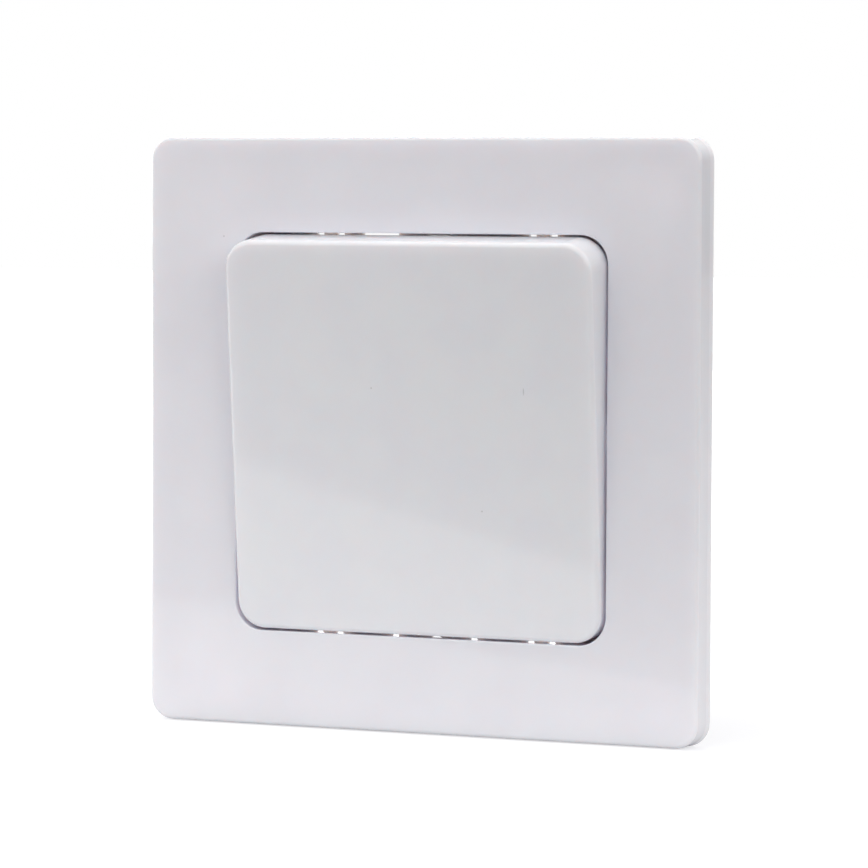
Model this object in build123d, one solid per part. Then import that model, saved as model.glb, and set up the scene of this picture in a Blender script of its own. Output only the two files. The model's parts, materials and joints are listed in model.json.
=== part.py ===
from build123d import *
import math
import os

# Single rocker light switch for a flush wall box.
# Lengths are millimetres and angles are degrees. +Z is up, +X is right, the front faces -Y.
# The plane Y = 0 is the wall, and the origin is the centre of the box screw pattern on it.

# Cover frame
frame_size = 82.0
frame_depth = 7.8
frame_rim_depth = 4.7
frame_flare_depth = 1.2
frame_flare_angle = 6.0
frame_draft = 0.8
frame_corner_radius = 3.3
frame_edge_radius = 0.5
frame_front_wall = 1.6
frame_rim_wall = 1.5
frame_base_inset = 2.2
frame_base_wall = 1.4
frame_rib_width = 1.0
frame_rib_pitch = 13.0
frame_rib_count = 4
window_size = 55.3
window_corner_radius = 4.0
window_edge_radius = 0.25
collar_wall = 1.2
collar_depth = 5.5
collar_corner = 7.0

# Rocker
rocker_gap = 0.3
rocker_rear_size = window_size - 2 * rocker_gap
rocker_depth = 5.9
rocker_lift = 2.7
rocker_draft = 2.5
rocker_corner_radius = 4.2
rocker_edge_radius = 0.7
rocker_wall = 1.5
rocker_face_wall = 1.6
rocker_rib_width = 1.0
rocker_rib_depth = 1.1
rocker_rib_pitch = 8.6
rocker_tilt = 5.2
pivot_depth = 1.6

# Snap legs of the rocker on the arms of the yoke
leg_width = 6.0
leg_thickness = 1.2
leg_hook = 1.0
leg_hook_depth = 1.1
leg_clearance = 0.12

# Support ring
ring_clearance = 1.9
ring_size = frame_size - 2 * (frame_base_inset + frame_base_wall + ring_clearance)
ring_thickness = 1.0
ring_corner_cut = 7.0
ring_corner_radius = 1.5
ring_opening = 27.0
ring_opening_radius = 2.0
box_screw_spacing = 60.0
box_screw_slot_length = 4.0
box_screw_slot_width = 3.6
box_screw_head_room = 6.6
ring_window_height = 3.2
ring_window_margin = 0.9

# Centring frame
centring_flange = 0.8
centring_flange_step = 2.0
centring_flange_size = ring_size - 2 * centring_flange_step
centring_opening = 45.0
centring_wall = 1.0
centring_wall_height = 2.2
centring_clearance = 0.15
catch_slot_width = 1.15
catch_slot_height = 2.2
catch_slot_offset = 15.93
catch_slot_pitch = 3.1
key_slot_width = 5.5
key_slot_offset = -8.28
small_slot_width = 1.2
small_slot_offset = 5.9

# Bearing cover
cover_size = 43.0
cover_thickness = 1.2
cover_corner_radius = 4.0
cover_rim_wall = 1.0
cover_rim_clearance = 0.2
cover_slot_width = 7.4
cover_slot_height = 10.4
post_width = 7.0
post_thickness = 2.6
post_gap = 0.2
post_head = 1.5
post_mouth = 2.2

# Yoke
beam_length = 19.2
beam_height = 6.4
beam_depth = 3.4
trunnion_radius = 1.3
trunnion_length = 3.0
bearing_clearance = 0.05
arm_width = 8.0
arm_reach = 9.0
arm_thickness = 1.1
guide_radius = 3.2
guide_length = 9.6
guide_bore_radius = 2.1
guide_bore_floor = 1.5

# Plunger and its spring
plunger_clearance = 0.1
plunger_tip_radius = 1.6
plunger_reach = 14.95
plunger_collar_length = 6.2
spring_wire_radius = 0.24
spring_wire_sides = 6
spring_radius = 1.5
spring_turns = 5.0

# Contact lever
lever_pivot_y = 9.9
lever_swing = 4.5
lever_thickness = 0.8
lever_width = 4.4
lever_length = 21.0
lever_pin_radius = 0.5
lever_pin_length = 7.2
lever_end_radius = 1.6
contact_offset = 8.5
contact_radius = 1.3
contact_height = 0.9
contact_dome = 0.35
contact_shank_radius = 0.7
contact_gap = 0.12
contact_head = 0.3
fixed_contact_radius = 1.5
fixed_contact_height = 0.9

# Terminal strips
strip_thickness = 0.8
strip_left = -8.5
strip_right = 2.5
strip_height = 4.0
tail_width = 5.0
tail_rise = 12.3
cage_end_room = 0.62
terminal_x = 6.0
ear_thickness = 0.8
ear_height = 3.0
ear_gap = 0.3
ear_notch_clearance = 0.08

# Terminal cages and clamp screws
cage_size_x = 7.0
cage_size_z = 6.8
cage_wall = 0.6
cage_top_wall = 1.8
cage_clearance = 0.15
clamp_screw_radius = 1.65
clamp_screw_reach = 1.2
clamp_head_radius = 2.6
clamp_head_height = 1.7
clamp_slot_width = 0.7
clamp_slot_depth = 0.7
thread_clearance = 0.1
screw_head_chamfer = 0.4

# Mechanism housing
housing_size = 41.0
housing_depth = 23.0
housing_corner_cut = 5.0
housing_edge_radius = 0.8
housing_floor = 3.0
housing_outer_wall = 1.3
cavity_width = 19.0
cavity_height = 24.0
pocket_clearance = 0.5
wire_hole_radius = 1.7

# Cover screws
cover_screw_offset = 15.5
cover_screw_radius = 1.2
cover_screw_length = 9.0
cover_screw_head_radius = 2.2
cover_screw_head_height = 1.0
cover_screw_clearance = 0.1

# Claws
claw_pivot_x = 21.8
claw_pivot_y = 1.6
claw_knuckle_radius = 0.85
claw_thickness = 1.2
claw_width = 12.0
claw_shoulder_y = 9.3
claw_reach_x = 27.2
claw_length = 18.0
claw_tooth = 1.3
claw_tooth_pitch = 4.0
claw_tooth_width = 1.8
claw_slot_width = 4.8
claw_screw_x = 23.2
claw_screw_radius = 1.75
claw_screw_length = 14.0
claw_screw_head_radius = 2.4
claw_screw_head_height = 1.6
claw_screw_clearance = 0.15
claw_head_room = 0.3

# Places that follow from the sizes
front_y = -frame_depth
pivot_y = front_y + pivot_depth
rocker_face_y = front_y - rocker_lift
ring_front_y = -ring_thickness
cover_front_y = ring_front_y - cover_thickness
centring_front_y = ring_front_y - centring_flange
strip_back_y = (
    lever_pivot_y
    + (contact_height + lever_thickness / 2 - 0.3) * math.cos(math.radians(lever_swing))
    + contact_offset * math.sin(math.radians(lever_swing))
    + contact_gap
    + fixed_contact_height
    + strip_thickness
)
strip_front_y = strip_back_y - strip_thickness
tail_length = housing_depth - housing_floor - cage_end_room - strip_front_y
cage_length = tail_length - strip_thickness
lever_front_y = lever_pivot_y - lever_thickness / 2 - 0.3
cage_bottom_z = tail_rise - cage_wall
cage_top_z = cage_bottom_z + cage_size_z
cage_back_y = strip_front_y + tail_length
cage_front_y = cage_back_y - cage_length
slot_z = window_size / 2 + 0.15
wire_z = (tail_rise + strip_thickness + cage_top_z - cage_top_wall) / 2


def wall_plane(y):
    """Plane parallel to the wall: local x is X, local y is Z, and extrusions run to the front."""
    return Plane(origin=(0, y, 0), x_dir=(1, 0, 0), z_dir=(0, -1, 0))


def prism(outline, back_y, front_y, taper=0):
    """Extrude an outline drawn in X and Z from one Y to another, nearer the front."""
    return extrude(wall_plane(back_y) * outline, amount=back_y - front_y, taper=taper)


def block(x, y, z):
    """Box between two values along each axis."""
    size = [high - low for low, high in (x, y, z)]
    centre = [(high + low) / 2 for low, high in (x, y, z)]
    return Pos(*centre) * Box(*size)


def rod_x(radius, length, x, y, z):
    return Pos(x, y, z) * Rot(0, 90, 0) * Cylinder(radius, length)


def rod_y(radius, low_y, high_y, x=0, z=0):
    return Pos(x, (low_y + high_y) / 2, z) * Rot(90, 0, 0) * Cylinder(radius, high_y - low_y)


def rod_z(radius, low_z, high_z, x, y):
    return Pos(x, y, (low_z + high_z) / 2) * Cylinder(radius, high_z - low_z)


def side_plate(points, low_x, high_x):
    """Plate with an outline given in Y and Z, between two values of X."""
    plane = Plane(origin=((low_x + high_x) / 2, 0, 0), x_dir=(0, 1, 0), z_dir=(1, 0, 0))
    return extrude(plane * Polygon(*points, align=None), amount=abs(high_x - low_x) / 2, both=True)


def level_plate(points, low_z, high_z):
    """Plate with an outline given in X and Y, between two values of Z."""
    plane = Plane(origin=(0, 0, (low_z + high_z) / 2))
    return extrude(plane * Polygon(*points, align=None), amount=abs(high_z - low_z) / 2, both=True)


def turned(shape, y, angle):
    """Turn a shape about the X direction through (y, 0)."""
    return shape.rotate(Axis((0, y, 0), (1, 0, 0)), angle)


def mirrored_z(shape):
    return mirror(shape, Plane.XY)


def mirrored_x(shape):
    return mirror(shape, Plane.YZ)


def make_cover_frame():
    rim_back_y = front_y + frame_rim_depth
    flare_front_y = rim_back_y - frame_flare_depth
    flare_loss = 2 * frame_flare_depth * math.tan(math.radians(frame_flare_angle))
    flare = prism(
        RectangleRounded(frame_size, frame_size, frame_corner_radius),
        rim_back_y, flare_front_y, frame_flare_angle,
    )
    main_size = frame_size - flare_loss
    main = prism(
        RectangleRounded(main_size, main_size, frame_corner_radius - flare_loss / 2),
        flare_front_y, front_y, frame_draft,
    )
    shell = flare + main
    shell = fillet(shell.faces().sort_by(Axis.Y)[0].outer_wire().edges(), frame_edge_radius)
    inner_size = frame_size - 2 * frame_rim_wall
    inner_radius = frame_corner_radius - frame_rim_wall
    inner_front_y = front_y + frame_front_wall
    shell -= prism(RectangleRounded(inner_size, inner_size, inner_radius), rim_back_y, inner_front_y)
    base_size = frame_size - 2 * frame_base_inset
    base_hole = base_size - 2 * frame_base_wall
    base = RectangleRounded(base_size, base_size, frame_corner_radius)
    base -= RectangleRounded(base_hole, base_hole, frame_corner_radius - frame_base_wall)
    shell += prism(base, 0, inner_front_y)
    collar_size = window_size + 2 * collar_wall
    collar_back_y = front_y + collar_depth
    collar = RectangleRounded(collar_size, collar_size, window_corner_radius + collar_wall)
    shell += prism(collar, collar_back_y, inner_front_y)
    for turn in range(4):
        reach = collar_size / 2 - collar_corner
        relief = block((-reach, reach), (inner_front_y, collar_back_y + 1), (window_size / 2 - 1, collar_size / 2 + 1))
        shell -= relief.rotate(Axis.Y, 90 * turn)
    rib_end = base_size / 2 - frame_base_wall / 2
    for index in range(frame_rib_count):
        rib_x = (index - (frame_rib_count - 1) / 2) * frame_rib_pitch
        rib = block(
            (rib_x - frame_rib_width / 2, rib_x + frame_rib_width / 2),
            (inner_front_y - 0.2, collar_back_y - centring_wall_height),
            (collar_size / 2, rib_end),
        )
        for turn in range(4):
            shell += rib.rotate(Axis.Y, 90 * turn)
    window = RectangleRounded(window_size, window_size, window_corner_radius)
    shell -= prism(window, 1, front_y - 1)
    half = box_screw_spacing / 2
    room = rod_y(box_screw_head_room / 2, front_y + frame_front_wall, 1, x=half)
    for turn in range(4):
        shell -= room.rotate(Axis.Y, 90 * turn)
    front = shell.faces().filter_by(Axis.Y).sort_by(Axis.Y)[0]
    return fillet(front.inner_wires()[0].edges(), window_edge_radius)


def make_rocker():
    rear_y = rocker_face_y + rocker_depth
    cap = prism(
        RectangleRounded(rocker_rear_size, rocker_rear_size, rocker_corner_radius),
        rear_y, rocker_face_y, rocker_draft,
    )
    cap = fillet(cap.faces().sort_by(Axis.Y)[0].edges(), rocker_edge_radius)
    inner_size = rocker_rear_size - 2 * rocker_wall
    inner_y = rocker_face_y + rocker_face_wall
    cap -= prism(
        RectangleRounded(inner_size, inner_size, rocker_corner_radius - rocker_wall),
        rear_y, inner_y, rocker_draft,
    )
    rib_half = inner_size / 2
    rib_y = (inner_y - 0.2, inner_y + rocker_rib_depth)
    for index in (-2, 2):
        offset = index * rocker_rib_pitch
        low = offset - rocker_rib_width / 2
        high = offset + rocker_rib_width / 2
        cap += block((low, high), rib_y, (-rib_half, rib_half))
        cap += block((-rib_half, rib_half), rib_y, (low, high))
    arm_front_y = pivot_y - beam_depth / 2
    leg_end = arm_front_y + arm_thickness + leg_clearance + leg_hook_depth
    leg_z = arm_reach + leg_clearance
    leg = block((-leg_width / 2, leg_width / 2), (inner_y - 0.2, leg_end), (leg_z, leg_z + leg_thickness))
    hook = (
        (leg_end, leg_z), (leg_end - leg_hook_depth, leg_z),
        (leg_end - leg_hook_depth, leg_z - leg_hook), (leg_end - leg_hook_depth / 2, leg_z - leg_hook),
    )
    leg += side_plate(hook, -leg_width / 2, leg_width / 2)
    return cap + leg + mirrored_z(leg)


def make_yoke():
    beam_y = (pivot_y - beam_depth / 2, pivot_y + beam_depth / 2)
    beam = block((-beam_length / 2, beam_length / 2), beam_y, (-beam_height / 2, beam_height / 2))
    beam = fillet(beam.edges().filter_by(Axis.X), 0.8)
    trunnion_half = beam_length / 2 + trunnion_length
    yoke = beam + rod_x(trunnion_radius, 2 * trunnion_half, 0, pivot_y, 0)
    arms = RectangleRounded(arm_width, 2 * arm_reach, 1.0)
    yoke += prism(arms, beam_y[0] + arm_thickness, beam_y[0])
    for side in (-1, 1):
        web_x = side * (arm_width / 2 - 1.4)
        web = (
            (beam_y[0] + 0.3, -arm_reach + 0.8), (beam_y[1], -beam_height / 2),
            (beam_y[1], beam_height / 2), (beam_y[0] + 0.3, arm_reach - 0.8),
        )
        yoke += side_plate(web, web_x - 0.5, web_x + 0.5)
    guide_end = pivot_y + guide_length
    yoke += rod_y(guide_radius, pivot_y, guide_end)
    yoke -= rod_y(guide_bore_radius, beam_y[0] + guide_bore_floor, guide_end + 1)
    return yoke


def make_plunger():
    radius = guide_bore_radius - plunger_clearance
    tip_y = pivot_y + plunger_reach
    start_y = tip_y - plunger_tip_radius - plunger_collar_length
    shaft = rod_y(radius, start_y, tip_y - plunger_tip_radius)
    shaft = chamfer(shaft.edges().sort_by(Axis.Y)[0], 0.3)
    neck = rod_y(plunger_tip_radius, tip_y - plunger_tip_radius - 0.6, tip_y - plunger_tip_radius)
    return shaft + neck + Pos(0, tip_y - plunger_tip_radius, 0) * Sphere(plunger_tip_radius)


def make_plunger_spring():
    floor_y = pivot_y - beam_depth / 2 + guide_bore_floor
    end_y = pivot_y + plunger_reach - plunger_tip_radius - plunger_collar_length
    height = end_y - floor_y - 2 * spring_wire_radius - 0.1
    path = Helix(pitch=height / spring_turns, height=height, radius=spring_radius)
    section = Plane(path @ 0, z_dir=path % 0) * RegularPolygon(spring_wire_radius, spring_wire_sides)
    coil = sweep(section, path=path, is_frenet=True)
    return Pos(0, floor_y + spring_wire_radius + 0.05, 0) * Rot(-90, 0, 0) * coil


def make_contact_lever():
    back_y = lever_front_y + lever_thickness
    plate = prism(
        RectangleRounded(lever_width, lever_length, lever_end_radius), back_y, lever_front_y,
    )
    dimple = Pos(0, lever_front_y - 2.6, 0) * Rot(0, 90, 0) * Cylinder(2.8, lever_width + 1)
    plate -= dimple
    plate += rod_x(lever_pin_radius, lever_pin_length, 0, lever_pivot_y, 0)
    for side in (-1, 1):
        plate -= rod_y(contact_shank_radius, lever_front_y - 1, back_y + 1, z=side * contact_offset)
    return plate


def make_moving_contact(side):
    back_y = lever_front_y + lever_thickness
    apex_y = back_y + contact_height
    z = side * contact_offset
    rivet = rod_y(contact_radius, back_y, apex_y - contact_dome, z=z)
    dome_radius = (contact_radius ** 2 + contact_dome ** 2) / (2 * contact_dome)
    dome = Pos(0, apex_y - dome_radius, z) * Sphere(dome_radius)
    rivet += dome & rod_y(contact_radius, apex_y - contact_dome - 0.1, apex_y + 1, z=z)
    rivet += rod_y(contact_shank_radius, lever_front_y, back_y, z=z)
    return rivet + rod_y(contact_radius * 0.8, lever_front_y - contact_head, lever_front_y, z=z)


def make_fixed_contact(side):
    z = side * contact_offset
    top = strip_front_y - fixed_contact_height
    disc = rod_y(fixed_contact_radius, top, strip_front_y, z=z)
    disc = chamfer(disc.edges().sort_by(Axis.Y)[0], 0.2)
    return disc + rod_y(contact_shank_radius, strip_front_y, strip_back_y, z=z)


def make_tail(x):
    """Bent end of a strip that runs back into a terminal cage."""
    return block(
        (x - tail_width / 2, x + tail_width / 2),
        (strip_front_y, strip_front_y + tail_length),
        (tail_rise, tail_rise + strip_thickness),
    )


def make_side_terminal():
    """Strip of the upper fixed contact, with its tail in the upper left cage."""
    low = contact_offset - strip_height / 2
    strip = block((strip_left, strip_right), (strip_front_y, strip_back_y), (low, tail_rise - 0.6))
    riser_x = (-terminal_x - tail_width / 2, -terminal_x + tail_width / 2)
    strip += block(riser_x, (strip_front_y, strip_back_y), (low, tail_rise + strip_thickness))
    strip += make_tail(-terminal_x)
    strip = fillet(strip.edges().filter_by(Axis.Y).group_by(Axis.Z)[0], 0.8)
    return strip - rod_y(contact_shank_radius, strip_front_y - 1, strip_back_y + 1, z=contact_offset)


def make_common_terminal():
    ear_x = lever_width / 2 + ear_gap
    riser_x = (terminal_x - tail_width / 2 + 0.6, terminal_x + tail_width / 2)
    base_low = -ear_height / 2 - 0.6
    strip = block((-ear_x - ear_thickness, riser_x[1]), (strip_front_y, strip_back_y), (base_low, -base_low))
    strip += block(riser_x, (strip_front_y, strip_back_y), (base_low, tail_rise + strip_thickness))
    strip += make_tail(terminal_x)
    for side in (-1, 1):
        inner = side * ear_x
        outer = side * (ear_x + ear_thickness)
        ear_front = lever_pivot_y - lever_pin_radius - 0.6
        strip += block((min(inner, outer), max(inner, outer)), (ear_front, strip_front_y),
                       (-ear_height / 2, ear_height / 2))
    notch_radius = lever_pin_radius + ear_notch_clearance
    strip -= rod_x(notch_radius, 4 * ear_x, 0, lever_pivot_y, 0)
    notch = block((-2 * ear_x, 2 * ear_x), (lever_pivot_y - 3, lever_pivot_y), (-notch_radius, notch_radius))
    return strip - notch


def make_cage(x):
    cage = block((x - cage_size_x / 2, x + cage_size_x / 2), (cage_front_y, cage_back_y),
                 (cage_bottom_z, cage_top_z))
    cage = chamfer(cage.edges().filter_by(Axis.Y), 0.5)
    window = block((x - cage_size_x / 2 + cage_wall, x + cage_size_x / 2 - cage_wall),
                   (cage_front_y - 1, cage_back_y + 1), (tail_rise, cage_top_z - cage_top_wall))
    cage -= window
    middle_y = (cage_front_y + cage_back_y) / 2
    hole = clamp_screw_radius + thread_clearance
    return cage - rod_z(hole, cage_top_z - cage_top_wall - 1, cage_top_z + 1, x, middle_y)


def make_clamp_screw(x):
    middle_y = (cage_front_y + cage_back_y) / 2
    head_z = cage_top_z + 0.3
    shank = rod_z(clamp_screw_radius, cage_top_z - cage_top_wall - clamp_screw_reach, head_z, x, middle_y)
    shank = chamfer(shank.edges().sort_by(Axis.Z)[0], 0.4)
    head = rod_z(clamp_head_radius, head_z, head_z + clamp_head_height, x, middle_y)
    head = chamfer(head.edges().sort_by(Axis.Z)[-1], screw_head_chamfer)
    slot_z = (head_z + clamp_head_height - clamp_slot_depth, head_z + clamp_head_height + 1)
    half = clamp_slot_width / 2
    reach = clamp_head_radius + 1
    head -= block((x - reach, x + reach), (middle_y - half, middle_y + half), slot_z)
    head -= block((x - half, x + half), (middle_y - 0.6 * reach, middle_y + 0.6 * reach), slot_z)
    return shank + head


def make_housing():
    pot = prism(Rectangle(housing_size, housing_size), housing_depth, 0)
    pot = chamfer(pot.edges().filter_by(Axis.Y), housing_corner_cut)
    pot = fillet(pot.faces().sort_by(Axis.Y)[-1].outer_wire().edges(), housing_edge_radius)
    pot -= block((-cavity_width / 2, cavity_width / 2), (-1, strip_back_y),
                 (-cavity_height / 2, cavity_height / 2))
    outer_z = housing_size / 2 - housing_outer_wall
    pocket_back_y = housing_depth - housing_floor
    middle_y = (cage_front_y + cage_back_y) / 2
    for x, side in ((-terminal_x, 1), (terminal_x, 1), (-terminal_x, -1)):
        half = cage_size_x / 2 + cage_clearance
        low = cage_bottom_z - cage_clearance
        top = cage_top_z + cage_clearance
        pocket = block((x - half, x + half), (-1, pocket_back_y), (low, top))
        access = rod_z(clamp_head_radius + pocket_clearance / 2, cage_top_z, housing_size / 2 + 1, x, middle_y)
        wire = rod_y(wire_hole_radius, pocket_back_y - 1, housing_depth + 1, x=x, z=wire_z)
        cut = pocket + access + wire
        pot -= cut if side > 0 else mirrored_z(cut)
    hole_y = cover_screw_length + 1
    for x in (-1, 1):
        for z in (-1, 1):
            pot -= rod_y(cover_screw_radius + thread_clearance, -1, hole_y,
                         x=x * cover_screw_offset, z=z * cover_screw_offset)
    for side in (-1, 1):
        groove_x = sorted((side * (claw_pivot_x - claw_thickness), side * (housing_size / 2 + 1)))
        pot -= block(groove_x, (-1, housing_depth + 1), (-claw_width / 2 - 0.5, claw_width / 2 + 0.5))
    return pot


def middle_slots():
    """Slots near the middle of the upper and lower side: place along X, side and width."""
    slots = [(key_slot_offset, 1, key_slot_width)]
    return slots + [(end * small_slot_offset, -1, small_slot_width) for end in (-1, 1)]


def make_support_ring():
    outline = chamfer(Rectangle(ring_size, ring_size).vertices(), ring_corner_cut)
    outline = fillet(outline.vertices(), ring_corner_radius)
    outline -= RectangleRounded(ring_opening, ring_opening, ring_opening_radius)
    half = box_screw_spacing / 2
    for turn in range(4):
        slot = SlotOverall(box_screw_slot_length, box_screw_slot_width)
        outline -= Rot(0, 0, 90 * turn) * Pos(half, 0) * slot
    for x in (-1, 1):
        outline -= Pos(x * claw_screw_x, 0) * Circle(claw_screw_radius + claw_screw_clearance)
        for z in (-1, 1):
            outline -= Pos(x * cover_screw_offset, z * cover_screw_offset) * Circle(
                cover_screw_radius + cover_screw_clearance
            )
    catch_width = catch_slot_pitch + catch_slot_width
    windows = [(half * catch_slot_offset, side, catch_width) for half in (-1, 1) for side in (-1, 1)]
    for x, side, width in windows + middle_slots():
        window = RectangleRounded(width + 2 * ring_window_margin, ring_window_height, 0.5)
        outline -= Pos(x, side * slot_z) * window
    return prism(outline, 0, ring_front_y)


def claw_head_rooms():
    """Room round the heads of the two claw screws."""
    room = rod_y(claw_screw_head_radius + claw_head_room, -frame_depth, 0, x=claw_screw_x)
    return room + mirrored_x(room)


def make_centring_frame():
    flange = RectangleRounded(centring_flange_size, centring_flange_size, 4)
    flange -= RectangleRounded(centring_opening, centring_opening, 3)
    frame = prism(flange, ring_front_y, centring_front_y)
    wall_inner = window_size + 2 * collar_wall + 2 * centring_clearance
    wall_outer = wall_inner + 2 * centring_wall
    radius = window_corner_radius + collar_wall + centring_clearance
    wall = RectangleRounded(wall_outer, wall_outer, radius + centring_wall)
    wall -= RectangleRounded(wall_inner, wall_inner, radius)
    frame += prism(wall, centring_front_y, centring_front_y - centring_wall_height)
    half = box_screw_spacing / 2
    room = rod_y(box_screw_head_room / 2, -frame_depth, 0, x=half)
    for turn in range(4):
        frame -= room.rotate(Axis.Y, 90 * turn)
    frame = frame - claw_head_rooms()
    slots = middle_slots()
    for side in (-1, 1):
        for half in (-1, 1):
            for pair in (-1, 1):
                slots.append((half * catch_slot_offset + pair * catch_slot_pitch / 2, side, catch_slot_width))
    for x, side, width in slots:
        low, high = sorted((side * (slot_z - catch_slot_height / 2), side * (slot_z + catch_slot_height / 2)))
        frame -= block((x - width / 2, x + width / 2), (centring_front_y - 1, 0), (low, high))
    return frame


def make_bearing_cover():
    plate = prism(RectangleRounded(cover_size, cover_size, cover_corner_radius), ring_front_y, cover_front_y)
    plate = chamfer(plate.faces().sort_by(Axis.Y)[0].edges(), 0.3)
    rim_size = ring_opening - 2 * cover_rim_clearance
    rim = RectangleRounded(rim_size, rim_size, ring_opening_radius)
    rim_hole = rim_size - 2 * cover_rim_wall
    rim -= RectangleRounded(rim_hole, rim_hole, ring_opening_radius - cover_rim_wall + 0.2)
    plate += prism(rim, 0, ring_front_y)
    for side in (-1, 1):
        inner = beam_length / 2 + post_gap
        low, high = sorted((side * inner, side * (inner + post_thickness)))
        profile = (
            (cover_front_y + 0.5, -post_width / 2 - 0.8), (pivot_y, -post_width / 2),
            (pivot_y - post_head, -post_width / 2 + 1.2), (pivot_y - post_head, post_width / 2 - 1.2),
            (pivot_y, post_width / 2), (cover_front_y + 0.5, post_width / 2 + 0.8),
        )
        plate += side_plate(profile, low, high)
    bearing = trunnion_radius + bearing_clearance
    plate -= rod_x(bearing, cover_size, 0, pivot_y, 0)
    plate -= block((-cover_size / 2, cover_size / 2), (pivot_y - 4, pivot_y), (-post_mouth / 2, post_mouth / 2))
    slot = block((-cover_slot_width / 2, cover_slot_width / 2), (cover_front_y - 0.5, 1),
                 (-cover_slot_height / 2, cover_slot_height / 2))
    plate = plate - slot - claw_head_rooms()
    for x in (-1, 1):
        for z in (-1, 1):
            plate -= rod_y(cover_screw_radius + cover_screw_clearance, cover_front_y - 1, 1,
                           x=x * cover_screw_offset, z=z * cover_screw_offset)
    return plate


def make_cover_screws():
    screws = []
    for x in (-1, 1):
        for z in (-1, 1):
            place = {"x": x * cover_screw_offset, "z": z * cover_screw_offset}
            head = rod_y(cover_screw_head_radius, cover_front_y - cover_screw_head_height, cover_front_y, **place)
            head = chamfer(head.edges().sort_by(Axis.Y)[0], screw_head_chamfer)
            shank = rod_y(cover_screw_radius, cover_front_y, cover_screw_length, **place)
            screw = head + chamfer(shank.edges().sort_by(Axis.Y)[-1], 0.5)
            screws.append(screw)
    return Compound(children=screws)


def make_right_claw():
    half = claw_thickness / 2
    tip_x = claw_reach_x + half
    profile = (
        (claw_pivot_x - half, claw_pivot_y - 1.2), (claw_pivot_x + half, claw_pivot_y - 1.2),
        (claw_pivot_x + half, claw_shoulder_y - half), (tip_x, claw_shoulder_y - half),
        (tip_x, claw_length), (tip_x - claw_thickness, claw_length),
        (tip_x - claw_thickness, claw_shoulder_y + half), (claw_pivot_x - half, claw_shoulder_y + half),
    )
    claw = level_plate(profile, -claw_width / 2, claw_width / 2)
    teeth_count = int(claw_width / claw_tooth_pitch)
    for index in range(teeth_count):
        z = (index - (teeth_count - 1) / 2) * claw_tooth_pitch
        tooth = (
            (tip_x - claw_thickness, claw_length), (tip_x, claw_length - 0.6),
            (tip_x + claw_tooth, claw_length + claw_tooth),
        )
        claw += level_plate(tooth, z - claw_tooth_width / 2, z + claw_tooth_width / 2)
    claw += rod_z(claw_knuckle_radius, -claw_width / 2, claw_width / 2, claw_pivot_x, claw_pivot_y)
    slot_half = claw_slot_width / 2
    claw -= block((claw_pivot_x - 3, tip_x - claw_thickness - 0.2), (-1, claw_shoulder_y + 2),
                  (-slot_half, slot_half))
    return claw


def make_right_claw_screw():
    head_y = ring_front_y - claw_screw_head_height
    head = rod_y(claw_screw_head_radius, head_y, ring_front_y, x=claw_screw_x)
    head = chamfer(head.edges().sort_by(Axis.Y)[0], screw_head_chamfer)
    shank = rod_y(claw_screw_radius, ring_front_y, claw_screw_length, x=claw_screw_x)
    screw = head + chamfer(shank.edges().sort_by(Axis.Y)[-1], 0.6)
    half = clamp_slot_width / 2
    reach = 0.7 * claw_screw_head_radius
    slot_y = (head_y - 1, head_y + clamp_slot_depth)
    screw -= block((claw_screw_x - reach, claw_screw_x + reach), slot_y, (-half, half))
    return screw - block((claw_screw_x - half, claw_screw_x + half), slot_y, (-reach, reach))


def make_nodes():
    side_terminal = make_side_terminal()
    cage_left = make_cage(-terminal_x)
    screw_left = make_clamp_screw(-terminal_x)
    claw = make_right_claw()
    claw_screw = make_right_claw_screw()
    nodes = {
        "cover_frame": make_cover_frame(),
        "centring_frame": make_centring_frame(),
        "support_ring": make_support_ring(),
        "bearing_cover": make_bearing_cover(),
        "mechanism_housing": make_housing(),
        "cover_screws": make_cover_screws(),
        "rocker": turned(make_rocker(), pivot_y, rocker_tilt),
        "yoke": turned(make_yoke(), pivot_y, rocker_tilt),
        "plunger": turned(make_plunger(), pivot_y, rocker_tilt),
        "plunger_spring": turned(make_plunger_spring(), pivot_y, rocker_tilt),
        "contact_lever": turned(make_contact_lever(), lever_pivot_y, -lever_swing),
        "moving_contact_upper": turned(make_moving_contact(1), lever_pivot_y, -lever_swing),
        "moving_contact_lower": turned(make_moving_contact(-1), lever_pivot_y, -lever_swing),
        "fixed_contact_upper": make_fixed_contact(1),
        "fixed_contact_lower": make_fixed_contact(-1),
        "common_terminal": make_common_terminal(),
        "upper_terminal": side_terminal,
        "lower_terminal": mirrored_z(side_terminal),
        "common_cage": make_cage(terminal_x),
        "upper_cage": cage_left,
        "lower_cage": mirrored_z(cage_left),
        "common_clamp_screw": make_clamp_screw(terminal_x),
        "upper_clamp_screw": screw_left,
        "lower_clamp_screw": mirrored_z(screw_left),
        "claw_right": claw,
        "claw_left": mirrored_x(claw),
        "claw_screw_right": claw_screw,
        "claw_screw_left": mirrored_x(claw_screw),
    }
    return nodes


def main():
    os.makedirs("parts", exist_ok=True)
    for name, shape in make_nodes().items():
        export_step(shape, f"parts/{name}.step")


main()
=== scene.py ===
import json
import math

import bmesh
import bpy
from mathutils import Matrix, Vector


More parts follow.
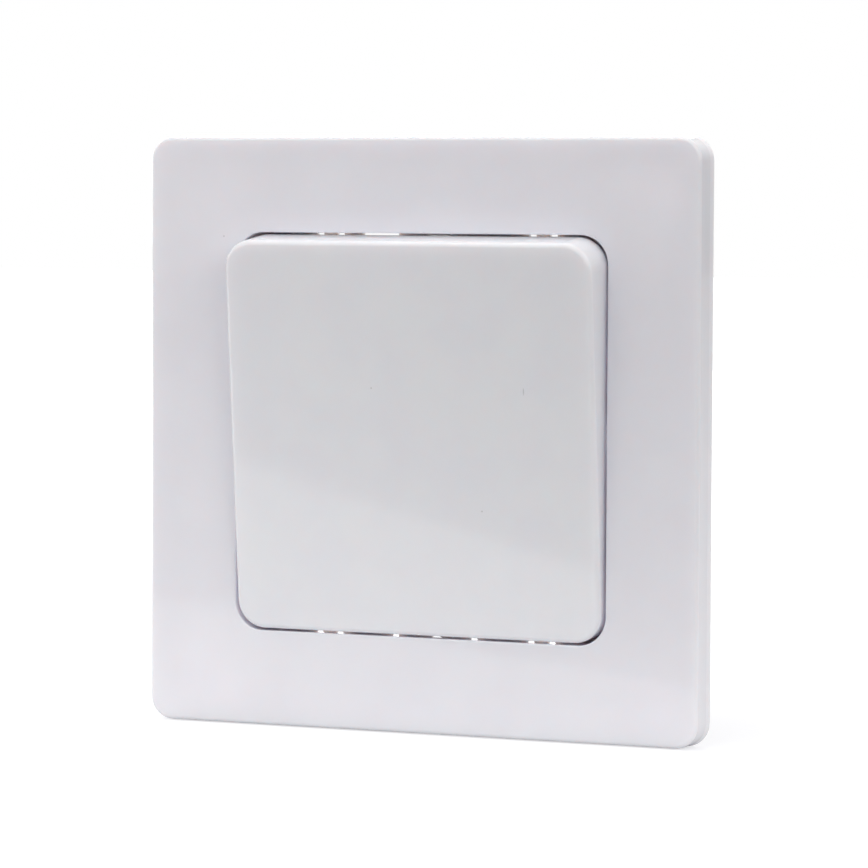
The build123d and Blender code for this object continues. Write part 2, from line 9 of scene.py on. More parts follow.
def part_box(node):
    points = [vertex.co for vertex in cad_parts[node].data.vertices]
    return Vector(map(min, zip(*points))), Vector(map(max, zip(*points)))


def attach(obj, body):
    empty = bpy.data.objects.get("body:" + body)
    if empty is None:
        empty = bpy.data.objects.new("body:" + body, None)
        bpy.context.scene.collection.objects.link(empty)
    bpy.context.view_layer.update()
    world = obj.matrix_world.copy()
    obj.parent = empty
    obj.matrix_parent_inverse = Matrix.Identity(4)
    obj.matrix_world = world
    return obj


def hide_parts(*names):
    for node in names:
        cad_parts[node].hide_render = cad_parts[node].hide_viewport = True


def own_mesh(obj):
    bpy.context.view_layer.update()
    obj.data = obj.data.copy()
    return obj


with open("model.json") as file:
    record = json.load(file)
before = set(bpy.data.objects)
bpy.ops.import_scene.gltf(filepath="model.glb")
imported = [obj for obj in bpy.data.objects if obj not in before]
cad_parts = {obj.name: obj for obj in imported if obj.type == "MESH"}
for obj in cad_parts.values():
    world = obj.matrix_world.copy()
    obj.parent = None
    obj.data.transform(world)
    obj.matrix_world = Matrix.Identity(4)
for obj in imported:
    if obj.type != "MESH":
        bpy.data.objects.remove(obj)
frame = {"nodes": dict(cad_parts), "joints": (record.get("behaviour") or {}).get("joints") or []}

bl_info = {
    "name": "Rocker Switch Dressing",
    "version": (1, 0, 0),
    "blender": (4, 5, 0),
    "location": "View3D > Sidebar > Switch",
    "description": "Finishes, screw threads and studio stage for a flush rocker light switch",
    "category": "Object",
}

MM = 0.001

# Floor and dust colours
PAPER_WHITE = (0.74, 0.74, 0.75, 1)
TABLE_GREY = (0.10, 0.10, 0.105, 1)
SHADOW_GREY = (0.42, 0.42, 0.425, 1)
NEAR_GLOW = (0.64, 0.64, 0.65, 1)
FAR_GLOW = (1.0, 1.0, 1.0, 1)
DUST_GREY = (0.22, 0.2, 0.2, 1)
DUST_STRENGTH = 0.3

# Where the floor's glow starts and ends, and how soft the sheet's edge is, in metres
GLOW_START = 0.12
GLOW_END = 0.6
EDGE_SOFTNESS = 0.003

# Heights between which the mirrored room brightens, and its strength below them
HORIZON_START = 0.02
HORIZON_END = 0.45
HORIZON_LIGHT = 0.3

# Shanks that carry a thread, and the plain lengths at their ends
CLAW_SHANK_RADIUS = 1.75 * MM
CLAW_HEAD_END = 2.0 * MM
CLAW_TIP_END = 0.4 * MM
CLAMP_SHANK_RADIUS = 1.65 * MM
CLAMP_HEAD_END = 1.8 * MM
CLAMP_TIP_END = 0.2 * MM
THREAD_ROOT = 0.15 * MM
THREAD_STEPS = 28
SPRING_STEPS = 24


# Shader building

class Flow:
    """A socket in a material's tree that can be used in sums."""

    def __init__(self, finish, socket):
        self.finish = finish
        self.socket = socket

    def maths(self, operation, other):
        """This value and another, joined by a maths node."""
        return self.finish.node("ShaderNodeMath", {"operation": operation}, {0: self, 1: other})

    def __add__(self, other):
        return self.maths("ADD", other)

    def __rsub__(self, other):
        return (self * -1.0) + other

    def __mul__(self, other):
        return self.maths("MULTIPLY", other)

    def between(self, low, high):
        """0 below low, 1 above high, and smooth between them."""
        return self.finish.node(
            "ShaderNodeMapRange",
            {"interpolation_type": "SMOOTHSTEP"},
            {"Value": self, "From Min": low, "From Max": high},
        )


class Finish:
    """A procedural material around one Principled shader."""

    def __init__(self, name, **constants):
        self.material = bpy.data.materials.new(name)
        self.material.use_nodes = True
        self.tree = self.material.node_tree
        self.tree.nodes.clear()
        self.shader = self.tree.nodes.new("ShaderNodeBsdfPrincipled")
        output = self.tree.nodes.new("ShaderNodeOutputMaterial")
        self.tree.links.new(self.shader.outputs["BSDF"], output.inputs["Surface"])
        for socket, value in constants.items():
            self.shader.inputs[socket.replace("_", " ")].default_value = value
        self.place = self.node("ShaderNodeTexCoord", {}, {}, "Object")

    def node(self, kind, settings, values, output=0):
        """Add a node, set its settings, then its sockets by value or link, and return one output."""
        made = self.tree.nodes.new(kind)
        for name, value in settings.items():
            setattr(made, name, value)
        for name, value in values.items():
            socket = made.inputs[name]
            if isinstance(value, Flow):
                value = value.socket
            if isinstance(value, bpy.types.NodeSocket):
                self.tree.links.new(value, socket)
            else:
                socket.default_value = value
        return Flow(self, made.outputs[output])

    def stretched(self, x, y, z):
        """Object coordinates stretched along the axes, for brushed or drawn surfaces."""
        return self.node("ShaderNodeMapping", {}, {"Vector": self.place, "Scale": (x, y, z)})

    def noise(self, size, detail=3.0, roughness=0.5, where=None):
        """Noise whose features are about size millimetres."""
        values = {
            "Vector": where or self.place,
            "Scale": 1 / (size * MM),
            "Detail": detail,
            "Roughness": roughness,
        }
        return self.node("ShaderNodeTexNoise", {}, values)

    def cells(self, size, where=None):
        """One random value for each cell of about size millimetres."""
        values = {"Vector": where or self.place, "Scale": 1 / (size * MM)}
        return self.node("ShaderNodeTexVoronoi", {"feature": "F1"}, values, "Distance")

    def mix(self, share, first, second):
        """Colour between first and second."""
        values = {"Factor": share, 6: first, 7: second}
        return self.node("ShaderNodeMix", {"data_type": "RGBA"}, values, 2)

    def relief(self, height, depth):
        """Bump of a height from 0 to 1, depth millimetres deep."""
        normal = self.node("ShaderNodeBump", {}, {"Height": height, "Strength": 1.0, "Distance": depth * MM})
        self.feed("Normal", normal)

    def feed(self, socket, flow):
        self.tree.links.new(flow.socket, self.shader.inputs[socket])


def tinted(colour, factor):
    """The colour made lighter or darker by a factor, with full alpha."""
    return tuple(min(1.0, part * factor) for part in colour[:3]) + (1.0,)


def dusty(finish, base, node, specks):
    """Grey specks over a base colour. Each has its shares of the node's width and height, and its size."""
    corners = [Vector(corner) for corner in frame["nodes"][node].bound_box]
    left, low = (min(corner[axis] for corner in corners) for axis in (0, 2))
    right, high = (max(corner[axis] for corner in corners) for axis in (0, 2))
    for (across, up), (width, height) in specks:
        centre = Vector((left + across * (right - left), 0, low + up * (high - low)))
        scale = Vector((2 / width, 0, 2 / height))
        shift = Vector((-centre.x * scale.x, 0, -centre.z * scale.z))
        values = {0: finish.place, 1: scale, 2: shift}
        offset = finish.node("ShaderNodeVectorMath", {"operation": "MULTIPLY_ADD"}, values)
        away = finish.node("ShaderNodeVectorMath", {"operation": "LENGTH"}, {0: offset}, "Value")
        speck = 1.0 - away.between(0.6, 1.3)
        base = finish.mix(speck * DUST_STRENGTH, base, DUST_GREY)
    return base


def gloss_plastic(name, colour, roughness, node, specks):
    """Polished white moulding: a faint cloud, a very fine orange peel and a few specks of dust."""
    finish = Finish(
        name,
        IOR=1.6,
        Subsurface_Weight=0.9,
        Subsurface_Radius=(1.0, 0.84, 0.80),
        Subsurface_Scale=1.8 * MM,
    )
    cloud = finish.noise(9.0, 2.0).between(0.3, 0.7)
    base = finish.mix(cloud, tinted(colour, 0.99), tinted(colour, 1.01))
    base = dusty(finish, base, node, specks)
    finish.feed("Base Color", base)
    haze = finish.noise(2.2, 3.0)
    finish.feed("Roughness", haze * 0.03 + (roughness - 0.015))
    finish.relief(finish.noise(2.6, 2.0), 0.0006)
    return finish.material


def satin_plastic(name, colour, roughness, grain=0.35, depth=0.006, speckle=0.03, glow=0.0):
    """Eroded mould texture on an inner moulding, with flow clouds and fine specks."""
    finish = Finish(
        name,
        IOR=1.49,
        Subsurface_Weight=glow,
        Subsurface_Radius=(1.0, 0.78, 0.7),
        Subsurface_Scale=3.0 * MM,
    )
    cloud = finish.noise(6.0, 3.0)
    specks = finish.noise(0.25, 1.0).between(0.62, 0.72)
    base = finish.mix(cloud, tinted(colour, 0.97), tinted(colour, 1.03))
    finish.feed("Base Color", finish.mix(specks * speckle, base, tinted(colour, 0.55)))
    finish.feed("Roughness", cloud * 0.12 + (roughness - 0.06))
    finish.relief(finish.noise(grain, 3.0), depth)
    return finish.material


def brushed_metal(name, colour, roughness, stretch, tarnish=0.15, grain=0.12):
    """Rolled or drawn metal: fine lines along one way, and patches of dull tarnish."""
    finish = Finish(name, Metallic=1.0)
    lines = finish.noise(grain, 4.0, 0.6, finish.stretched(*stretch))
    patches = finish.noise(3.5, 4.0).between(0.4, 0.75)
    base = finish.mix(lines, tinted(colour, 0.9), tinted(colour, 1.06))
    finish.feed("Base Color", finish.mix(patches * tarnish, base, tinted(colour, 0.6)))
    finish.feed("Roughness", lines * 0.12 + patches * 0.12 + (roughness - 0.08))
    finish.relief(lines, 0.003)
    return finish.material


def plated_metal(name, colour, roughness):
    """Zinc plate: pale crystals of slightly unequal tone over a soft sheen."""
    finish = Finish(name, Metallic=1.0)
    crystals = finish.cells(1.6)
    cloud = finish.noise(2.5, 3.0)
    base = finish.mix(crystals * 0.7 + cloud * 0.3, tinted(colour, 1.05), tinted(colour, 0.88))
    finish.feed("Base Color", base)
    finish.feed("Roughness", crystals * 0.1 + cloud * 0.12 + (roughness - 0.1))
    finish.relief(finish.noise(0.4, 3.0), 0.003)
    return finish.material


# Modelling helpers

def new_piece(name, material, body):
    """Name the active mesh, put its place into its vertices, and let it ride on a body."""
    piece = bpy.context.object
    piece.name = name
    piece.data.name = name
    bpy.ops.object.transform_apply(location=True, rotation=True, scale=True)
    piece.data.materials.clear()
    piece.data.materials.append(material)
    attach(piece, body)
    return piece


def apply_modifiers(piece):
    """Turn every modifier of the active piece into mesh."""
    for modifier in list(piece.modifiers):
        bpy.ops.object.modifier_apply(modifier=modifier.name)


def thread_along(axis, centre, radius, low, high, pitch, height):
    """Model a single start thread on a shank that runs along axis Y or Z from low to high."""
    bpy.ops.object.select_all(action="DESELECT")
    root, flank = radius - THREAD_ROOT, pitch * 0.42
    start = Vector(centre)
    start["XYZ".index(axis)] = low + flank
    bpy.ops.mesh.primitive_plane_add(size=1.0, location=start)
    ridge = bpy.context.object
    along = Vector((0, 1, 0)) if axis == "Y" else Vector((0, 0, 1))
    crest, land = radius + height, flank * 0.2
    corners = [(root, -flank), (crest, -land), (crest, land), (root, flank)]
    bpy.ops.object.mode_set(mode="EDIT")
    mesh = bmesh.from_edit_mesh(ridge.data)
    loop = [corner.vert for corner in mesh.faces[:][0].loops]
    for vertex, (out, rise) in zip(loop, corners):
        vertex.co = Vector((out, 0, 0)) + along * rise
    bmesh.update_edit_mesh(ridge.data)
    bpy.ops.mesh.select_all(action="SELECT")
    bpy.ops.mesh.delete(type="ONLY_FACE")
    bpy.ops.object.mode_set(mode="OBJECT")
    turns = (high - low - 2 * flank) / pitch
    screw = ridge.modifiers.new("thread", "SCREW")
    screw.axis = axis
    screw.angle = 2 * math.pi * turns
    screw.screw_offset = pitch * turns
    screw.iterations = 1
    screw.steps = screw.render_steps = max(8, round(THREAD_STEPS * turns))
    screw.use_smooth_shade = False
    apply_modifiers(ridge)
    bpy.ops.object.mode_set(mode="EDIT")
    bpy.ops.mesh.select_all(action="SELECT")
    bpy.ops.mesh.fill_holes(sides=4)
    bpy.ops.mesh.select_all(action="SELECT")
    bpy.ops.mesh.normals_make_consistent(inside=False)
    bpy.ops.object.mode_set(mode="OBJECT")
    return ridge


def paint(nodes, material):
    """Give CAD nodes one material."""
    for node in nodes:
        part = frame["nodes"][node]
        part.data.materials.clear()
        part.data.materials.append(material)


# Sizes and colours that a user would change

class StageSettings(bpy.types.PropertyGroup):
    camera_place: bpy.props.FloatVectorProperty(
        name="Camera place",
        description="Where the camera stands",
        size=3,
        default=(0.23485, -0.5416, 0.03338),
        unit="LENGTH",
    )
    camera_yaw: bpy.props.FloatProperty(
        name="Camera yaw",
        description="Turn of the camera to the right of the front",
        default=math.radians(23.526),
        subtype="ANGLE",
    )
    camera_pitch: bpy.props.FloatProperty(
        name="Camera pitch",
        description="How far the camera looks down",
        default=math.radians(3.245),
        subtype="ANGLE",
    )
    camera_roll: bpy.props.FloatProperty(
        name="Camera roll",
        description="Turn of the camera about its view",
        default=math.radians(0.263),
        subtype="ANGLE",
    )
    camera_lens: bpy.props.FloatProperty(
        name="Camera lens",
        description="Focal length in millimetres on a 36 mm sensor",
        default=177.36,
    )
    floor_height: bpy.props.FloatProperty(
        name="Floor height",
        description="Height of the floor below the origin",
        default=-0.041,
        unit="LENGTH",
    )
    key_power: bpy.props.FloatProperty(
        name="Key power",
        description="Power of the large lamp above the front",
        default=4.1,
        unit="POWER",
    )
    fill_power: bpy.props.FloatProperty(
        name="Fill power",
        description="Power of the wide lamp at the left",
        default=0.8,
        unit="POWER",
    )
    side_power: bpy.props.FloatProperty(
        name="Side power",
        description="Power of the lamp at the right",
        default=3.2,
        unit="POWER",
    )
    gap_bounces: bpy.props.IntProperty(
        name="Gap bounces",
        description="How often light is followed between the white walls of the gap",
        default=24,
    )
    back_power: bpy.props.FloatProperty(
        name="Back power",
        description="Power of the lamp behind, which shines into the open back",
        default=5.0,
        unit="POWER",
    )
    room_light: bpy.props.FloatProperty(
        name="Room light",
        description="Strength of the even light from all sides",
        default=0.68,
    )
    sheet_edge: bpy.props.FloatVectorProperty(
        name="Sheet edge",
        description="Where the white sheet's edge crosses the Y axis, and its run in Y for each unit of X",
        size=2,
        default=(-0.087, 0.68),
    )


class PlasticSettings(bpy.types.PropertyGroup):
    frame_colour: bpy.props.FloatVectorProperty(
        name="Frame colour",
        description="Colour of the cover frame",
        subtype="COLOR",
        size=3,
        default=(0.880, 0.864, 0.903),
    )
    rocker_colour: bpy.props.FloatVectorProperty(
        name="Rocker colour",
        description="Colour of the rocker",
        subtype="COLOR",
        size=3,
        default=(0.912, 0.894, 0.972),
    )
    inner_colour: bpy.props.FloatVectorProperty(
        name="Inner colour",
        description="Colour of the centring frame behind the rocker",
        subtype="COLOR",
        size=3,
        default=(0.96, 0.88, 0.86),
    )
    housing_colour: bpy.props.FloatVectorProperty(
        name="Housing colour",
        description="Colour of the mechanism housing",
        subtype="COLOR",
        size=3,
        default=(0.70, 0.69, 0.66),
    )
    cover_colour: bpy.props.FloatVectorProperty(
        name="Cover colour",
        description="Colour of the bearing cover",
        subtype="COLOR",
        size=3,
        default=(0.44, 0.45, 0.46),
    )
    yoke_colour: bpy.props.FloatVectorProperty(
        name="Yoke colour",
        description="Colour of the yoke",
        subtype="COLOR",
        size=3,
        default=(0.10, 0.105, 0.115),
    )
    plunger_colour: bpy.props.FloatVectorProperty(
        name="Plunger colour",
        description="Colour of the plunger",
        subtype="COLOR",
        size=3,
        default=(0.78, 0.76, 0.70),
    )
    middle_speck: bpy.props.FloatVectorProperty(
        name="Middle speck",
        description="Dust near the rocker's middle, as shares of its width and height",
        size=2,
        default=(0.4, 0.62),
    )
    low_speck: bpy.props.FloatVectorProperty(
        name="Low speck",
        description="Dust low on the rocker, as shares of its width and height",
        size=2,
        default=(0.69, 0.32),
    )
    side_fibre: bpy.props.FloatVectorProperty(
        name="Side fibre",
        description="Upright fibre on the rocker's right half, as shares of its width and height",
        size=2,
        default=(0.81, 0.62),
    )
    frame_speck: bpy.props.FloatVectorProperty(
        name="Frame speck",
        description="Dust on the cover frame, as shares of its width and height",
        size=2,
        default=(0.14, 0.83),
    )
    speck_size: bpy.props.FloatProperty(
        name="Speck size",
        description="Width of a speck of dust",
        default=0.25 * MM,
        unit="LENGTH",
    )
    fibre_length: bpy.props.FloatProperty(
        name="Fibre length",
        description="Length of the fibre",
        default=1.0 * MM,
        unit="LENGTH",
    )
    front_roughness: bpy.props.FloatProperty(
        name="Front roughness",
        description="Roughness of the polished front pieces",
        default=0.035,
        subtype="FACTOR",
    )


class MetalSettings(bpy.types.PropertyGroup):
    steel_colour: bpy.props.FloatVectorProperty(
        name="Steel colour",
        description="Colour of the plated steel pieces",
        subtype="COLOR",
        size=3,
        default=(0.58, 0.58, 0.57),
    )
    brass_colour: bpy.props.FloatVectorProperty(
        name="Brass colour",
        description="Colour of the brass strips",
        subtype="COLOR",
        size=3,
        default=(0.74, 0.55, 0.26),
    )
    silver_colour: bpy.props.FloatVectorProperty(
        name="Silver colour",
        description="Colour of the contact points",
        subtype="COLOR",
        size=3,
        default=(0.82, 0.81, 0.78),
    )
    thread_pitch: bpy.props.FloatProperty(
        name="Thread pitch",
        description="Pitch of the screw threads",
        default=0.6 * MM,
        unit="LENGTH",
    )
    thread_height: bpy.props.FloatProperty(
        name="Thread height",
        description="How far the thread stands out of the shank",
        default=0.08 * MM,
        unit="LENGTH",
    )
    spring_wire: bpy.props.FloatProperty(
        name="Spring wire",
        description="Radius of the plunger spring's wire",
        default=0.23 * MM,
        unit="LENGTH",
    )
    spring_turns: bpy.props.IntProperty(
        name="Spring turns",
        description="Turns of the plunger spring, with one closed turn at each end",
        default=6,
    )
    plunger_travel: bpy.props.FloatProperty(
        name="Plunger travel",
        description="How far the plunger's spring shortens at the end of the slide",
        default=0.8 * MM,
        unit="LENGTH",
    )


# Pieces

class SWITCH_OT_stage(bpy.types.Operator):
    """Set up the camera, the white floor and the soft lamps"""
    bl_idname = "switch.stage"
    bl_label = "Stage"

    def execute(self, context):
        sizes = context.scene.switch_stage
        yaw, pitch, roll = sizes.camera_yaw, sizes.camera_pitch, sizes.camera_roll
        up = Vector((0, 0, 1))
        back = Vector((math.sin(yaw), -math.cos(yaw), 0))
        right = Vector((math.cos(yaw), math.sin(yaw), 0))
        behind = back * math.cos(pitch) + up * math.sin(pitch)
        above = up * math.cos(pitch) - back * math.sin(pitch)
        across = right * math.cos(roll) + above * math.sin(roll)
        upright = above * math.cos(roll) - right * math.sin(roll)
        bpy.ops.object.camera_add()
        camera = context.object
        camera.name = "camera"
        camera.data.sensor_width = 36
        camera.data.lens = sizes.camera_lens
        camera.data.clip_start = 0.01
        turn = Matrix((across, upright, behind)).transposed().to_4x4()
        camera.matrix_world = Matrix.Translation(sizes.camera_place) @ turn
        context.scene.camera = camera
        context.scene.view_settings.view_transform = "Standard"
        context.scene.cycles.diffuse_bounces = sizes.gap_bounces
        context.scene.cycles.max_bounces = sizes.gap_bounces

        bpy.ops.object.select_all(action="DESELECT")
        bpy.ops.mesh.primitive_plane_add(size=6.0, location=(0, 0, sizes.floor_height))
        floor = context.object
        floor.name = "floor"
        floor.data.materials.append(self.floor_material())

        self.lamp("key", place=(-0.15, -0.42, 1.13), width=0.9, height=0.7, power=sizes.key_power)
        self.lamp("fill", place=(-0.7, -1.1, 0.45), width=0.9, height=0.8, power=sizes.fill_power)
        self.lamp("side", place=(1.0, -0.7, 0.45), width=0.8, height=0.8, power=sizes.side_power)
        self.lamp("back", place=(-0.6, 0.9, 0.3), width=0.8, height=0.6, power=sizes.back_power)
        self.world(context.scene, sizes.room_light)
        return {"FINISHED"}

    def floor_material(self):
        """White floor that the camera sees as white paper and that keeps the object's shadow."""
        finish = Finish("white_floor", Roughness=0.9, Specular_IOR_Level=0.0, Emission_Strength=1.0)
        edge, slope = bpy.context.scene.switch_stage.sheet_edge
        camera = finish.node("ShaderNodeLightPath", {}, {}, "Is Camera Ray")
        split = finish.node("ShaderNodeSeparateXYZ", {}, {"Vector": finish.place}, "X")
        across = Flow(finish, split.socket.node.outputs["Y"])
        beyond = (split * slope + (edge - across)).between(-EDGE_SOFTNESS, EDGE_SOFTNESS)
        reach = finish.node("ShaderNodeVectorMath", {"operation": "LENGTH"}, {0: finish.place}, "Value")
        away = reach.between(GLOW_START, GLOW_END)
        sheet = finish.mix(beyond, PAPER_WHITE, TABLE_GREY)
        finish.feed("Base Color", finish.mix(camera, sheet, SHADOW_GREY))
        seen = finish.mix(away, NEAR_GLOW, FAR_GLOW)
        finish.feed("Emission Color", finish.mix(camera, (0, 0, 0, 1), seen))
        return finish.material

    def lamp(self, name, place, width, height, power):
        """A rectangular lamp that points at the origin."""
        bpy.ops.object.light_add(type="AREA", location=place)
        lamp = bpy.context.object
        lamp.name = name
        lamp.data.shape = "RECTANGLE"
        lamp.data.size, lamp.data.size_y = width, height
        lamp.data.energy = power
        lamp.rotation_euler = (Vector((0, 0, 0)) - Vector(place)).to_track_quat("-Z", "Y").to_euler()

    def world(self, scene, strength):
        """Even room light, white where the camera or glass sees it; reflections see a room that is dimmer low
        down and brightens with height.
        """
        world = bpy.data.worlds.new("white_room")
        scene.world = world
        world.use_nodes = True
        tree = world.node_tree
        tree.nodes.clear()
        link = tree.links.new
        add = tree.nodes.new
        path = add("ShaderNodeLightPath")
        seen = add("ShaderNodeMath")
        seen.operation = "MAXIMUM"
        link(path.outputs["Is Camera Ray"], seen.inputs[0])
        link(path.outputs["Is Transmission Ray"], seen.inputs[1])
        where = add("ShaderNodeTexCoord")
        height = add("ShaderNodeSeparateXYZ")
        link(where.outputs["Generated"], height.inputs[0])
        rise = add("ShaderNodeMapRange")
        rise.interpolation_type = "SMOOTHSTEP"
        rise.inputs["From Min"].default_value = HORIZON_START
        rise.inputs["From Max"].default_value = HORIZON_END
        rise.inputs["To Min"].default_value = HORIZON_LIGHT
        link(height.outputs["Z"], rise.inputs["Value"])
        even = add("ShaderNodeBackground")
        even.inputs["Strength"].default_value = strength
        mirrored = add("ShaderNodeBackground")
        link(rise.outputs[0], mirrored.inputs["Strength"])
        white = add("ShaderNodeBackground")
        for shade in (even, mirrored, white):
            shade.inputs["Color"].default_value = (1, 1, 1, 1)
        glossy = add("ShaderNodeMixShader")
        link(path.outputs["Is Glossy Ray"], glossy.inputs[0])
        link(even.outputs[0], glossy.inputs[1])
        link(mirrored.outputs[0], glossy.inputs[2])
        mix = add("ShaderNodeMixShader")
        link(seen.outputs[0], mix.inputs[0])
        link(glossy.outputs[0], mix.inputs[1])
        link(white.outputs[0], mix.inputs[2])
        output = add("ShaderNodeOutputWorld")
        link(mix.outputs[0], output.inputs["Surface"])


class SWITCH_OT_front_finish(bpy.types.Operator):
    """Give the cover frame and the rocker their polished white plastic"""
    bl_idname = "switch.front_finish"
    bl_label = "Front finish"

    def execute(self, context):
        looks = context.scene.switch_plastic
        speck = (looks.speck_size, looks.speck_size)
        fibre = (looks.speck_size * 0.7, looks.fibre_length)
        on_frame = [(looks.frame_speck, speck)]
        on_rocker = [(looks.middle_speck, speck), (looks.low_speck, speck), (looks.side_fibre, fibre)]
        fronts = (
            ("cover_frame", "white_gloss_frame_finish", looks.frame_colour, on_frame),
            ("rocker", "white_gloss_rocker_finish", looks.rocker_colour, on_rocker),
        )
        for node, name, colour, specks in fronts:
            paint([node], gloss_plastic(name, colour, looks.front_roughness, node, specks))
        return {"FINISHED"}


class SWITCH_OT_inner_finish(bpy.types.Operator):
    """Give the inner mouldings their textured plastics"""
    bl_idname = "switch.inner_finish"
    bl_label = "Inner plastic finishes"

    def execute(self, context):
        looks = context.scene.switch_plastic
        self.mould("centring_frame", "centring_frame_finish", looks.inner_colour, roughness=0.42, glow=1.0)
        self.mould("bearing_cover", "bearing_cover_finish", looks.cover_colour,
                   roughness=0.55, grain=0.3, depth=0.01, speckle=0.1)
        self.mould("mechanism_housing", "housing_finish", looks.housing_colour,
                   roughness=0.5, grain=0.5, depth=0.012, speckle=0.25)
        self.mould("yoke", "yoke_finish", looks.yoke_colour,
                   roughness=0.4, grain=0.3, depth=0.005, speckle=0.2)
        self.mould("plunger", "plunger_finish", looks.plunger_colour,
                   roughness=0.3, grain=0.4, depth=0.003, speckle=0.02)
        return {"FINISHED"}

    def mould(self, node, name, colour, **texture):
        """Give one node its own satin plastic."""
        paint([node], satin_plastic(name, colour, **texture))


class SWITCH_OT_metal_finish(bpy.types.Operator):
    """Give the ring, screws, claws, strips and contacts their metals"""
    bl_idname = "switch.metal_finish"
    bl_label = "Metal finishes"

    def execute(self, context):
        looks = context.scene.switch_metal
        steel, brass = looks.steel_colour, looks.brass_colour
        claws = ["claw_right", "claw_left"]
        cages = ["common_cage", "upper_cage", "lower_cage"]
        clamp_screws = ["common_clamp_screw", "upper_clamp_screw", "lower_clamp_screw"]
        screws = ["cover_screws", *clamp_screws, "claw_screw_right", "claw_screw_left"]
        strips = ["common_terminal", "upper_terminal", "lower_terminal"]
        points = [f"{kind}_contact_{place}" for kind in ("moving", "fixed") for place in ("upper", "lower")]
        lever_brass, silver = tinted(brass, 1.03), looks.silver_colour
        paint(["support_ring"], plated_metal("ring_finish", steel, roughness=0.38))
        paint(claws, plated_metal("claw_finish", tinted(steel, 0.95), roughness=0.42))
        paint(cages, plated_metal("cage_finish", tinted(steel, 1.05), roughness=0.33))
        paint(screws, brushed_metal("screw_finish", steel, 0.24, (1, 1, 1), tarnish=0.2))
        paint(strips, brushed_metal("terminal_finish", brass, 0.3, (1, 0.12, 1), tarnish=0.25))
        paint(["contact_lever"], brushed_metal("lever_finish", lever_brass, 0.26, (1, 1, 0.1), tarnish=0.15))
        paint(points, brushed_metal("contact_finish", silver, 0.25, (1, 1, 1), tarnish=0.12))
        return {"FINISHED"}


class SWITCH_OT_claw_threads(bpy.types.Operator):
    """Add the threads of the two claw screws"""
    bl_idname = "switch.claw_threads"
    bl_label = "Claw screw threads"

    def execute(self, context):
        looks = context.scene.switch_metal
        metal = brushed_metal("claw_thread_finish", looks.steel_colour, 0.3, (1, 1, 1), 0.2)
        for side in ("right", "left"):
            low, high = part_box("claw_screw_" + side)
            centre = ((low.x + high.x) / 2, 0, (low.z + high.z) / 2)
            front, back = low.y + CLAW_HEAD_END, high.y - CLAW_TIP_END
            thread_along("Y", centre, CLAW_SHANK_RADIUS, front, back, looks.thread_pitch, looks.thread_height)
            new_piece("claw_thread_" + side, metal, f"claw_screw_{side}_body")
        return {"FINISHED"}


class SWITCH_OT_clamp_threads(bpy.types.Operator):
    """Add the threads of the three clamp screws"""
    bl_idname = "switch.clamp_threads"
    bl_label = "Clamp screw threads"

    def execute(self, context):
        looks = context.scene.switch_metal
        metal = brushed_metal("clamp_thread_finish", looks.steel_colour, 0.3, (1, 1, 1), 0.2)
        for place in ("common", "upper", "lower"):
            low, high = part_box(place + "_clamp_screw")
            centre = ((low.x + high.x) / 2, (low.y + high.y) / 2, 0)
            head_up = low.z > 0
            below, above = (CLAMP_TIP_END, CLAMP_HEAD_END) if head_up else (CLAMP_HEAD_END, CLAMP_TIP_END)
            pitch = looks.thread_pitch * 0.9
            foot, top = low.z + below, high.z - above
            thread_along("Z", centre, CLAMP_SHANK_RADIUS, foot, top, pitch, looks.thread_height)
            new_piece("clamp_thread_" + place, metal, "base")
        return {"FINISHED"}


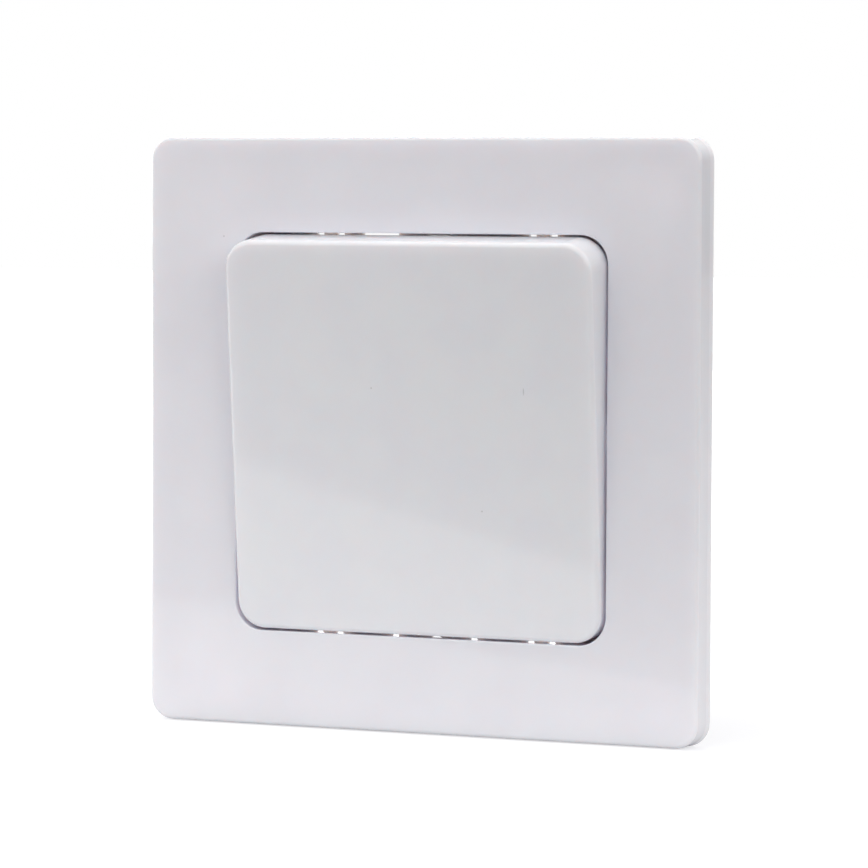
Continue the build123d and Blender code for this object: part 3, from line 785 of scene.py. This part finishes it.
class SWITCH_OT_plunger_spring(bpy.types.Operator):
    """Wind the plunger's spring with closed end turns, in place of the model's plain spring."""
    bl_idname = "switch.plunger_spring"
    bl_label = "Plunger spring"

    def execute(self, context):
        looks = context.scene.switch_metal
        slide = next(joint for joint in frame["joints"] if joint["name"] == "plunger_slide")
        along = -Vector(slide["axis"]).normalized()
        low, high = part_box("plunger_spring")
        middle, outer, wire = (low + high) / 2, (high.x - low.x) / 2, looks.spring_wire
        span = (high.y - low.y - outer * abs(along.z)) / abs(along.y)
        side, up = Vector((1, 0, 0)), along.cross(Vector((1, 0, 0)))
        height, closed = span - 2 * wire, 2 * wire
        turns = looks.spring_turns
        bpy.ops.object.select_all(action="DESELECT")
        bpy.ops.curve.primitive_nurbs_path_add(location=(0, 0, 0))
        path = context.object
        path.data.splines.clear()
        coil = path.data.splines.new("POLY")
        coil.points.add(SPRING_STEPS * turns)
        for place, point in enumerate(coil.points):
            turn = place / SPRING_STEPS
            rise = closed * turn
            if turn > turns - 1:
                rise = height - closed * (turns - turn)
            elif turn > 1:
                rise = closed + (height - 2 * closed) * (turn - 1) / (turns - 2)
            angle = 2 * math.pi * turn
            around = side * math.cos(angle) + up * math.sin(angle)
            point.co = (*(middle + around * (outer - wire) + along * (rise - height / 2)), 1)
        path.data.dimensions = "3D"
        path.data.bevel_depth = wire
        path.data.bevel_resolution = 2
        path.data.use_fill_caps = True
        bpy.ops.object.convert(target="MESH")
        bpy.ops.object.shade_smooth()
        metal = brushed_metal("wound_spring_finish", tinted(looks.steel_colour, 0.9), 0.22, (1, 1, 1), 0.1)
        piece = new_piece("wound_spring", metal, "rocker_body")
        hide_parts("plunger_spring")
        middle - along * span / 2
        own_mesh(piece)
        return {"FINISHED"}


class SWITCH_PT_panel(bpy.types.Panel):
    """List the pieces of the switch in the sidebar"""
    bl_label = "Rocker switch"
    bl_idname = "SWITCH_PT_panel"
    bl_space_type = "VIEW_3D"
    bl_region_type = "UI"
    bl_category = "Switch"

    def draw(self, context):
        for operator in OPERATORS:
            self.layout.operator(operator.bl_idname)
        for group in ("switch_stage", "switch_plastic", "switch_metal"):
            box = self.layout.box()
            values = getattr(context.scene, group)
            for name in values.__annotations__:
                box.prop(values, name)


OPERATORS = (
    SWITCH_OT_stage,
    SWITCH_OT_front_finish,
    SWITCH_OT_inner_finish,
    SWITCH_OT_metal_finish,
    SWITCH_OT_claw_threads,
    SWITCH_OT_clamp_threads,
    SWITCH_OT_plunger_spring,
)
GROUPS = {"switch_stage": StageSettings, "switch_plastic": PlasticSettings, "switch_metal": MetalSettings}


def register():
    for made in (*GROUPS.values(), *OPERATORS, SWITCH_PT_panel):
        bpy.utils.register_class(made)
    for name, group in GROUPS.items():
        setattr(bpy.types.Scene, name, bpy.props.PointerProperty(type=group))


def unregister():
    for name in GROUPS:
        delattr(bpy.types.Scene, name)
    for made in reversed((*GROUPS.values(), *OPERATORS, SWITCH_PT_panel)):
        bpy.utils.unregister_class(made)


def main():
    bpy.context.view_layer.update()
    register()
    bpy.ops.switch.stage()
    bpy.ops.switch.front_finish()
    bpy.ops.switch.inner_finish()
    bpy.ops.switch.metal_finish()
    bpy.ops.switch.claw_threads()
    bpy.ops.switch.clamp_threads()
    bpy.ops.switch.plunger_spring()


if __name__ == "__main__":
    main()
